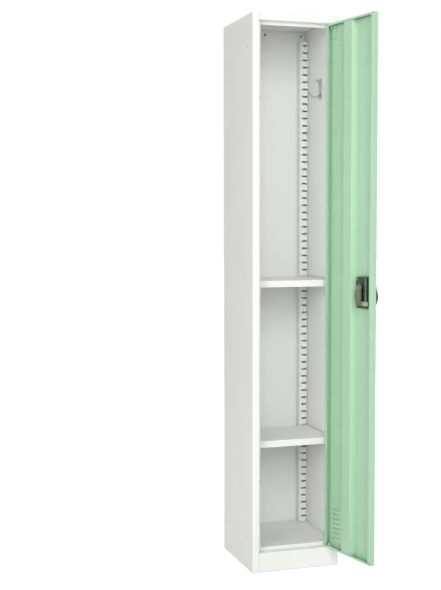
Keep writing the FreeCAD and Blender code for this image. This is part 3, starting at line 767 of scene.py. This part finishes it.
def door_skin():
    U, V = wrap(X0, X1, 12.0, xs), wrap(Z0, Z1, 7.0, zs)
    bm = bmesh.new()
    outer, inner = {}, {}

    def at(i, j):
        if (i, j) in outer:
            return outer[i, j], inner[i, j]
        px, du, nx, ny, tu = U[i]
        pz, dv, nz, my, tv = V[j]
        if tu == "S" and tv == "S":
            p, n = Vector((px, Y0 - relief(px, pz), pz)), Vector((0, -1, 0))
        elif tv == "S":
            p, n = Vector((px, Y0 + du, pz)), Vector((nx, ny, 0))
        elif tu == "S":
            p, n = Vector((px, Y0 + dv, pz)), Vector((0, my, nz))
        elif tu == "B" and tv == "B":
            p, n = Vector((px, Y0 + max(du, dv), pz)), Vector((nx, min(ny, my, -0.05), nz))
        elif tv == "B":
            p, n = Vector((px, Y0 + du, pz)), Vector((nx, ny, 0))
        else:
            p, n = Vector((px, Y0 + dv, pz)), Vector((0, my, nz))
        n.normalize()
        outer[i, j], inner[i, j] = bm.verts.new(p), bm.verts.new(p - n * T)
        return outer[i, j], inner[i, j]

    order = "SBFKH"
    kept = set()
    for i in range(len(U) - 1):
        tu = max(U[i][4], U[i + 1][4], key=order.index)
        xc = (U[i][0] + U[i + 1][0]) / 2
        for j in range(len(V) - 1):
            tv = max(V[j][4], V[j + 1][4], key=order.index)
            zc = (V[j][0] + V[j + 1][0]) / 2
            if tu in "FKH" and tv in "FKH":
                continue
            if tu in "KH" and (zc < Z0 + 8.0 or zc > Z1 - 8.0):
                continue
            if tv in "KH" and abs(xc) > 125.5:
                continue
            if tu == "S" and tv == "S" and LX0 + 1.1 < xc < LX1 - 1.1 and any(c - 3.15 < zc < c - 3.0 for c in ZL):
                continue
            kept.add((i, j))
    for i, j in sorted(kept):
        c = [at(i, j), at(i + 1, j), at(i + 1, j + 1), at(i, j + 1)]
        bm.faces.new([q[0] for q in c])
        bm.faces.new([q[1] for q in reversed(c)])
        for (di, dj), (p, q) in (((0, -1), (0, 1)), ((1, 0), (1, 2)), ((0, 1), (2, 3)), ((-1, 0), (3, 0))):
            if (i + di, j + dj) not in kept:
                bm.faces.new((c[q][0], c[p][0], c[p][1], c[q][1]))
    bmesh.ops.recalc_face_normals(bm, faces=bm.faces)
    for r, x, z in ((7.0, -72.0, 951.0), (5.5, -93.5, 946.0), (2.2, -50.0, 976.0), (2.2, -50.0, 892.0)):
        bm = boolean(bm, rod(r, 6.0, (x, Y0 - 2.0, z), "y", 36))
    for z in (Z0 - 1.0, Z1 - 2.0):
        bm = boolean(bm, rod(3.95, 4.0, (HX, HY, z), "z", 36))
    return bm


piece("door_pan", door_skin(), DOOR, "door", MINT, ["door_panel"], angle=38)

# stiffener: folded hat channel, spot welded to the skin, its foot trimmed beside the louvres
yb = Y0 + T
hat = sheet([(-34.0, yb + 0.45), (-21.4, yb + 0.45), (-15.7, -134.05), (29.7, -134.05), (35.4, yb + 0.45), (44.0, yb + 0.45)],
            T, 1.7, (67.95, 1802.05), "xy", 5)
hat = boolean(hat, block(36.2, 60.0, yb - 1.0, yb + 1.9, 90.0, 205.0))
# spot weld dimples along both feet
dim = bmesh.new()
for z in range(110, 1790, 120):
    for x in (-28.5, 40.2):
        if not (x > 0 and z < 220):
            append(dim, lathe([(0.0, 0.0), (1.2, 0.0), (2.4, 0.22), (2.6, 0.5), (0.0, 0.5)], (x, yb + 0.62, float(z)), "y", 20))
hat = boolean(hat, dim)
piece("door_hat_stiffener", hat, DOOR, "door", MINT, ["door_stiffener"], bevel=0.0)


def pivot_plate(z0, z1, tab):
    zt = tab + 0.75
    if tab > 1000:
        path = [(yb + 0.75, z0), (yb + 0.75, zt), (yb + 16.5, zt)]
    else:
        path = [(yb + 0.75, z1), (yb + 0.75, zt), (yb + 16.5, zt)]
    bm = sheet(path, 1.5, 1.8, (97.0, 126.5), "yz", 6)
    bm = boolean(bm, rod(3.95, 8.0, (HX, HY, tab - 3.0), "z", 36))
    return bm


piece("pivot_plate_top", pivot_plate(1755.0, 1802.1, 1800.6), DOOR, "door", MINT, ["top_pivot_bracket"], bevel=0.3)
piece("pivot_plate_bottom", pivot_plate(67.9, 93.0, 67.9), DOOR, "door", MINT, ["bottom_pivot_bracket"], bevel=0.3)


def bush(profile):
    return lathe(profile + [profile[0]], (HX, HY, 0), "z", 40)


piece("bush_bottom", bush([(2.6, 66.1), (4.6, 66.1), (4.9, 66.4), (4.9, 67.0), (3.9, 67.0), (3.9, 76.6), (3.5, 77.0), (2.9, 77.0), (2.6, 76.7)]),
      DOOR, "door", NYLON, ["bottom_pivot_bush"], angle=40)
piece("bush_top", bush([(2.6, 1804.1), (4.6, 1804.1), (4.9, 1803.8), (4.9, 1803.0), (3.9, 1803.0), (3.9, 1793.4), (3.5, 1793.0), (2.9, 1793.0), (2.6, 1793.3)]),
      DOOR, "door", NYLON, ["top_pivot_bush"], angle=40)


# ------------------------------------------------------------------ handle set
LXC, LZC = -72.0, 951.0
FY = -154.0


def dished_plate():
    """Handle plate: stamped, its rim rolled over, with a shallow raised field."""
    bm = bmesh.new()
    loops = []
    for inset, y in ((0.0, -152.5), (0.0, -153.1), (0.18, -153.6), (0.6, -153.9), (1.2, -154.0), (3.0, -154.0), (3.5, -153.85), (4.2, -153.8)):
        pts = rounded(-108.5 + inset, -38.5 - inset, 887.0 + inset, 987.0 - inset, 9.0 - min(inset, 5.0), 9)
        loops.append([bm.verts.new((x, y, z)) for x, z in pts])
    n = len(loops[0])
    for a, b in zip(loops[:-1], loops[1:]):
        for k in range(n):
            bm.faces.new((a[k], a[(k + 1) % n], b[(k + 1) % n], b[k]))
    bm.faces.new(list(reversed(loops[0])))
    bm.faces.new(loops[-1])
    bmesh.ops.recalc_face_normals(bm, faces=bm.faces)
    bm = boolean(bm, rod(7.0, 6.0, (LXC, -156.0, LZC), "y", 48))
    bm = boolean(bm, rod(5.5, 6.0, (-93.5, -156.0, 946.0), "y", 40))
    return bm


piece("handle_backplate", dished_plate(), DOOR, "door", NICKEL, ["handle_plate"], angle=28)

plug = lathe([(0.0, 0.4), (1.3, 0.4), (1.6, 0.75), (3.6, 0.6), (4.0, 0.15), (5.4, 0.05), (6.1, 0.25), (6.5, 0.75), (6.5, 1.6), (5.4, 1.6), (5.4, 3.9), (5.0, 4.1), (0.0, 4.1)],
             (-93.5, -155.6, 946.0), "y", 44)
piece("hole_plug", plug, DOOR, "door", BLACK, ["cylinder_hole_plug"], angle=35)


def arc_pts(cx, cy, r, a0, a1, n):
    return [(cx + r * math.cos(math.radians(a0 + (a1 - a0) * k / n)), cy + r * math.sin(math.radians(a0 + (a1 - a0) * k / n))) for k in range(n + 1)]


# staple: lug with a round nose, a drilled eye and a raised foot
out = [(FY, 903.2), (FY, 946.8)] + [(FY - 6, 946.8), (FY - 14, 945.6)] + arc_pts(FY - 20.5, 925.0 + 4.0, 12.5, 95, 180, 8) + \
      arc_pts(FY - 20.5, 925.0 - 4.0, 12.5, 180, 265, 8) + [(FY - 14, 904.4), (FY - 6, 903.2)]
st = prism(out, (LXC + 11.2, LXC + 13.7), "yz")
st = boolean(st, rod(4.75, 8.0, (LXC + 8.0, FY - 22.0, 925.0), "x", 40))
piece("padlock_lug", st, DOOR, "door", NICKEL_BRIGHT, ["padlock_staple"], bevel=0.45, seg=3)


# lock case: drawn cup with round shoulders
def cup(x0, x1, z0, z1, y_rim, y_floor, t, rc, rs):
    bm = bmesh.new()
    prof = [(0.0, y_rim), (0.0, y_floor - rs)]
    for k in range(1, 7):
        a = math.pi / 2 * k / 6
        prof.append((rs - rs * math.cos(a), y_floor - rs + rs * math.sin(a)))
    ip = [(i + t, y) for i, y in prof[:2]]
    ir = rs - t
    ip[0] = (t, y_rim)
    ip[1] = (t, y_floor - rs)
    for k in range(1, 7):
        a = math.pi / 2 * k / 6
        ip.append((rs - ir * math.cos(a), y_floor - rs + ir * math.sin(a)))
    loops = []
    for i, y in prof:
        loops.append([bm.verts.new((x, y, z)) for x, z in rounded(x0 + i, x1 - i, z0 + i, z1 - i, max(rc - i, 0.6), 7)])
    iloops = []
    for i, y in ip:
        iloops.append([bm.verts.new((x, y, z)) for x, z in rounded(x0 + i, x1 - i, z0 + i, z1 - i, max(rc - i, 0.4), 7)])
    n = len(loops[0])
    for seq in (loops, iloops):
        for a, b in zip(seq[:-1], seq[1:]):
            for k in range(n):
                bm.faces.new((a[k], a[(k + 1) % n], b[(k + 1) % n], b[k]))
        bm.faces.new(seq[-1])
    for k in range(n):
        bm.faces.new((loops[0][k], loops[0][(k + 1) % n], iloops[0][(k + 1) % n], iloops[0][k]))
    bmesh.ops.recalc_face_normals(bm, faces=bm.faces)
    return bm


case = cup(-97.0, -43.0, 884.0, 984.0, yb + 0.02, yb + 18.0, 1.4, 5.0, 3.2)
case = boolean(case, rod(5.25, 8.0, (LXC, yb + 13.0, LZC), "y", 40))
for x, z in ((-50.0, 976.0), (-50.0, 892.0)):
    case = boolean(case, rod(2.2, 8.0, (x, yb + 13.0, z), "y", 24))
piece("lock_box", case, DOOR, "door", ZINC_GREEN_REFLECTION, ["lock_case"], angle=30)


def cross(x, z, y, size=1.7, w=0.5, d=1.2):
    a = block(x - size, x + size, y - d, y + 1.0, z - w / 2, z + w / 2)
    return boolean(a, block(x - w / 2, x + w / 2, y - d, y + 1.0, z - size, z + size), "UNION")


sc = []
for x, z in ((-50.0, 976.0), (-50.0, 892.0)):
    y = yb + 18.0
    b = lathe([(0.0, -18.9), (1.95, -18.9), (1.95, 0.02)] + dome(3.9, 2.1, 8), (x, y, z), "y", 32)
    sc.append(boolean(b, cross(x, z, y + 2.2)))
piece("case_screws", [weld(b) for b in sc], DOOR, "door", NICKEL_BRIGHT, ["lock_case_screws"], angle=35)

sl = lathe([(5.05, 0.0), (6.6, 0.0), (6.9, 0.3), (6.9, 14.1), (6.6, 14.4), (5.05, 14.4), (5.05, 0.0)], (LXC, FY, LZC), "y", 44)
piece("sleeve_bearing", sl, DOOR, "door", NYLON, ["spindle_sleeve"], angle=40)


# ------------------------------------------------------------------ lever group
def lever_arm():
    """Bowed grip: rounded section swept from above the hub down to the tip."""
    front = catmull([(FY - 33.0, 962.4), (FY - 36.4, 954), (FY - 38.6, 942), (FY - 42.2, 931), (FY - 43.6, 920), (FY - 42.4, 909), (FY - 38.9, 899), (FY - 34.6, 888.4)], 6)
    rear = catmull([(FY - 29.2, 962.4), (FY - 29.2, 953), (FY - 31.8, 942), (FY - 35.8, 931), (FY - 37.3, 920), (FY - 36.1, 909), (FY - 33.1, 899), (FY - 28.9, 888.4)], 6)
    n = len(front) - 1
    bm = bmesh.new()
    rings = []
    for i, (f, r) in enumerate(zip(front, rear)):
        s = i / n
        # plan width: full at the hub, waisted under it, wider towards the grip's end
        w = 6.9 - 1.4 * math.exp(-((s - 0.42) / 0.17) ** 2) * 0.7
        e = math.sin(min(1.0, s / 0.06) * math.pi / 2) * math.sin(min(1.0, (1 - s) / 0.07) * math.pi / 2)
        w *= 0.62 + 0.38 * e
        c, h = (f + r) / 2, (f - r) / 2
        h = h * (0.55 + 0.45 * e)
        ring = []
        for k in range(20):
            a = 2 * math.pi * k / 20
            u, v = math.cos(a), math.sin(a)
            q = 3.4      # superellipse exponent for a soft, boxy section
            m = (abs(u) ** q + abs(v) ** q) ** (-1 / q)
            p = c + h * (v * m)
            ring.append(bm.verts.new((LXC + w * u * m, p.x, p.y)))
        rings.append(ring)
    for a, b in zip(rings[:-1], rings[1:]):
        for k in range(20):
            bm.faces.new((a[k], a[(k + 1) % 20], b[(k + 1) % 20], b[k]))
    bm.faces.new(rings[0])
    bm.faces.new(list(reversed(rings[-1])))
    bmesh.ops.recalc_face_normals(bm, faces=bm.faces)
    return bm


hubp = [(0.0, -34.9), (6.0, -34.9), (7.4, -34.5), (8.2, -33.4), (9.6, -33.2), (10.4, -32.7), (10.9, -31.6), (10.9, -22.0), (10.2, -21.2), (10.2, -19.6),
        (10.9, -18.8), (10.9, -2.2), (10.4, -0.9), (9.6, -0.45), (0.0, -0.45)]
hub = lathe(hubp, (LXC, FY, LZC), "y", 56)
arm = lever_arm()
ear_out = [(FY - 12.2, 919.0), (FY - 12.2, 931.0), (FY - 13.6, 935.4), (FY - 17.0, 938.0), (FY - 21.0, 938.8), (FY - 34.5, 938.8), (FY - 37.2, 936.0),
           (FY - 38.6, 929.5), (FY - 39.3, 921.0), (FY - 38.4, 911.6), (FY - 34.0, 911.0), (FY - 21.0, 910.4), (FY - 17.0, 911.4), (FY - 13.6, 914.6)]
ear = prism(ear_out, (LXC + 8.5, LXC + 10.95), "yz")
web = prism([(FY - 36.2, 932.6), (FY - 40.3, 932.6), (FY - 41.7, 921.0), (FY - 40.2, 911.6), (FY - 36.2, 911.6)], (LXC + 5.6, LXC + 9.2), "yz")
ear = boolean(ear, web, "UNION")
ear = boolean(ear, rod(4.75, 9.0, (LXC + 4.0, FY - 22.0, 925.0), "x", 40))
lever = boolean(hub, arm, "UNION")
lever = boolean(lever, ear, "UNION")
piece("lever_grip", lever, DOOR, "lever", NICKEL_DARK, ["handle_lever"], bevel=0.35, seg=2, angle=40)

# bright ring let into the hub's face
ring = lathe([(5.4, -34.7), (7.1, -34.4), (7.0, -34.90), (6.4, -34.99), (5.8, -34.98), (5.4, -34.7)], (LXC, FY, LZC), "y", 56)
piece("hub_ring", ring, DOOR, "lever", NICKEL_BRIGHT, (), angle=60)


def d_shaft(length, y0):
    pts = []
    for k in range(49):
        a = math.radians(45.6 + (314.4 - 45.6) * k / 48)
        pts.append((LXC + 5.0 * math.cos(a), LZC + 5.0 * math.sin(a)))
    return prism(pts, (y0, y0 + length), "xz")


piece("spindle_shaft", d_shaft(-120.1 - (FY - 0.4), FY - 0.4), DOOR, "lever", ZINC, ["spindle"], bevel=0.3, angle=50)

cy = -128.6
# painted highlight: the cam's foot is lightened round one point
CAM_STEEL = metal("cam_steel", (0.44, 0.48, 0.33), (0.35, 0.39, 0.26), 0.38, "z", brush=0.25,
                  highlight_spot=(tuple(DOOR @ Vector((LXC - 38.0, cy, 900.0))), 0.010, 0.030, (0.86, 0.88, 0.74)))
arm_out = rounded(LXC - 9, LXC + 9, 893.0, 962.0, [6.0, 6.0, 6.0, 6.0], 8)
foot_out = rounded(LXC - 43, LXC + 5, 893.0, 907.0, 4.0, 7)
cam = boolean(prism(arm_out, (cy, cy + 3.0), "xz"), prism(foot_out, (cy, cy + 3.0), "xz"), "UNION")
bulge = [(LXC - 6.0, 893.2)] + [(LXC - 10 + 33.9 * math.cos(math.radians(a)), 926.0 + 33.9 * math.sin(math.radians(a))) for a in range(-74, 75, 4)] + [(LXC - 6.0, 958.0)]
cam = boolean(cam, prism(bulge, (cy, cy + 3.0), "xz"), "UNION")
cam = boolean(cam, d_shaft(8.0, cy - 2.0))
piece("cam_arm", cam, DOOR, "lever", CAM_STEEL, ["latch_cam"], bevel=0.45, seg=3, angle=45)

# hex nut with chamfered corners
nut = prism([(LXC + 8.0 * math.cos(math.radians(60 * k + 30)), LZC + 8.0 * math.sin(math.radians(60 * k + 30))) for k in range(6)], (cy + 3.0, cy + 8.0), "xz")
nut = boolean(nut, lathe([(0.0, 0.0), (7.1, 0.0), (8.6, 0.95), (8.6, 4.05), (7.1, 5.0), (0.0, 5.0)], (LXC, cy + 3.0, LZC), "y", 48), "INTERSECT")
nut = boolean(nut, d_shaft(9.0, cy + 1.0))
piece("hex_nut", nut, DOOR, "lever", ZINC, ["cam_nut"], angle=25)


# ------------------------------------------------------------------ stage, light, camera
def camera_only(tree, seen, lit):
    """Mixes two shaders: what the camera sees directly, and what lights the object."""
    lp = tree.nodes.new("ShaderNodeLightPath")
    mx = tree.nodes.new("ShaderNodeMixShader")
    tree.links.new(lp.outputs["Is Camera Ray"], mx.inputs[0])
    tree.links.new(lit, mx.inputs[1])
    tree.links.new(seen, mx.inputs[2])
    return mx.outputs[0]


def stage_mesh(name, bm, mat):
    me = bpy.data.meshes.new(name)
    bm.to_mesh(me)
    bm.free()
    me.materials.append(mat)
    o = bpy.data.objects.new(name, me)
    COLL.objects.link(o)
    return o


def stage_floor():
    """Pale seamless studio floor: soft contact shadow near the object, white further out."""
    bm = bmesh.new()
    bmesh.ops.create_grid(bm, x_segments=24, y_segments=24, size=30.0)
    m = Mat("studio_floor", (0.80, 0.80, 0.80), 0.8)
    d = m.noise(1.2, 3.0)
    m.link(m.mix(m.map(d, 0.3, 0.7, 0.0, 1.0), (0.80, 0.80, 0.80), (0.79, 0.79, 0.79)), m.p.inputs["Base Color"])
    m.p.inputs["Specular IOR Level"].default_value = 0.0
    t = m.t
    out = t.nodes["Material Output"]
    dif = t.nodes.new("ShaderNodeBsdfDiffuse")
    dif.inputs["Color"].default_value = (0.50, 0.50, 0.50, 1)
    em = t.nodes.new("ShaderNodeEmission")
    # white from 2.4 m out, so the floor runs into the backdrop with no horizon
    ln = m.node("ShaderNodeVectorMath", operation="LENGTH")
    m.link(m.co, ln.inputs[0])
    m.link(m.map(ln.outputs["Value"], 0.5, 2.4, FLOOR_GLOW, 1.02), em.inputs["Strength"])
    add = t.nodes.new("ShaderNodeAddShader")
    t.links.new(dif.outputs[0], add.inputs[0])
    t.links.new(em.outputs[0], add.inputs[1])
    t.links.new(camera_only(t, add.outputs[0], m.p.outputs[0]), out.inputs["Surface"])
    o = stage_mesh("studio_floor", bm, m.m)
    o.location = (0, 0, -0.0006)


FLOOR_GLOW = 0.70
stage_floor()


def hole_shade_discs():
    """Painted shade in the through holes: small one-sided dark discs just outside them stand in for the shade behind.
    """
    m = bpy.data.materials.new("painted_hole_shade")
    m.use_nodes = True
    t = m.node_tree
    out = t.nodes["Material Output"]
    # painted shade: near-black colour seen through the holes
    t.nodes["Principled BSDF"].inputs["Base Color"].default_value = (0.10, 0.11, 0.10, 1)
    geo = t.nodes.new("ShaderNodeNewGeometry")
    clear = t.nodes.new("ShaderNodeBsdfTransparent")
    mx = t.nodes.new("ShaderNodeMixShader")
    t.links.new(geo.outputs["Backfacing"], mx.inputs[0])
    t.links.new(t.nodes["Principled BSDF"].outputs[0], mx.inputs[1])
    t.links.new(clear.outputs[0], mx.inputs[2])
    t.links.new(mx.outputs[0], out.inputs["Surface"])
    bm = bmesh.new()
    # faces towards -Y behind the back sheet, and towards -X outside the right wall
    for x in (-135.0, 0.0, 135.0):
        bmesh.ops.create_circle(bm, cap_ends=True, segments=24, radius=6.5,
                                matrix=Matrix.Translation((x, 153.2, 1812.0)) @ Matrix.Rotation(math.pi / 2, 4, "X"))
    for y in (-100.0, 100.0):
        for z in (107.0, 1727.0):
            bmesh.ops.create_circle(bm, cap_ends=True, segments=24, radius=5.0,
                                    matrix=Matrix.Translation((153.4, y, z)) @ Matrix.Rotation(-math.pi / 2, 4, "Y"))
    bm.normal_update()
    for f in bm.faces:
        want = Vector((0, -1, 0)) if f.calc_center_median().y > 152 else Vector((-1, 0, 0))
        if f.normal.dot(want) < 0:
            f.normal_flip()
    bm.transform(CAB)
    o = stage_mesh("painted_shade_behind_holes", bm, m)
    o.visible_shadow = o.visible_diffuse = o.visible_glossy = False


hole_shade_discs()

world = bpy.data.worlds.new("studio")
bpy.context.scene.world = world
world.use_nodes = True
wt = world.node_tree
seen = wt.nodes["Background"]
seen.inputs["Color"].default_value = (1.0, 1.0, 1.0, 1)
seen.inputs["Strength"].default_value = 1.0
lit = wt.nodes.new("ShaderNodeBackground")
lit.inputs["Color"].default_value = (0.98, 1.0, 0.99, 1)
lit.inputs["Strength"].default_value = 0.34
wt.links.new(camera_only(wt, seen.outputs[0], lit.outputs[0]), wt.nodes["World Output"].inputs["Surface"])


def area(name, at, target, size, power, color=(1, 1, 1), size_y=None):
    l = bpy.data.lights.new(name, "AREA")
    l.shape = "RECTANGLE"
    l.size, l.size_y = size, size_y or size
    l.energy, l.color = power, color
    o = bpy.data.objects.new(name, l)
    COLL.objects.link(o)
    o.location = at
    o.rotation_euler = (Vector(target) - Vector(at)).to_track_quat("-Z", "Y").to_euler()
    return o


area("key", (-1.25, -4.60, 1.90), (0.0, 0.0, 0.95), 1.8, 58.0, (1.0, 0.995, 0.985), 1.8)
area("key_high", (-0.90, -4.30, 3.50), (0.0, 0.0, 0.85), 1.8, 55.0, (1.0, 1.0, 0.995), 1.6)
area("left", (-3.30, -2.55, 1.50), (-0.1, 0.0, 0.85), 1.8, 69.0, (1.0, 0.995, 1.0), 2.0)
area("right", (3.70, -0.30, 1.60), (0.1, 0.0, 0.85), 1.8, 46.0, (1.0, 1.0, 1.0), 2.0)
area("back", (0.90, 4.20, 1.90), (0.0, 0.2, 0.9), 1.8, 30.0, (1.0, 1.0, 1.0), 1.8)
area("top", (0.0, 0.35, 4.60), (0.0, 0.15, 1.83), 1.6, 22.0, (1.0, 1.0, 1.0), 1.6)

cam_data = bpy.data.cameras.new("camera")
cam_data.sensor_width, cam_data.sensor_fit = 36.0, "AUTO"
cam_data.lens = 1100.5 / 590.0 * 36.0
cam_data.clip_end = 60.0
cam_obj = bpy.data.objects.new("camera", cam_data)
COLL.objects.link(cam_obj)
yaw, pitch, roll = math.radians(17.71), math.radians(-3.68), math.radians(-0.10)
fwd = Vector((math.sin(yaw) * math.cos(pitch), math.cos(yaw) * math.cos(pitch), math.sin(pitch)))
rgt = fwd.cross(Vector((0, 0, 1))).normalized()
upv = rgt.cross(fwd)
r2 = rgt * math.cos(roll) + upv * math.sin(roll)
u2 = upv * math.cos(roll) - rgt * math.sin(roll)
M = Matrix((r2, u2, -fwd)).transposed().to_4x4()
M.translation = Vector((-1.337, -3.3735, 1.151))
cam_obj.matrix_world = M
bpy.context.scene.camera = cam_obj

sc_ = bpy.context.scene
sc_.view_settings.view_transform = "Standard"
sc_.view_settings.look = "None"
sc_.view_settings.exposure = 0.0
sc_.view_settings.gamma = 1.0
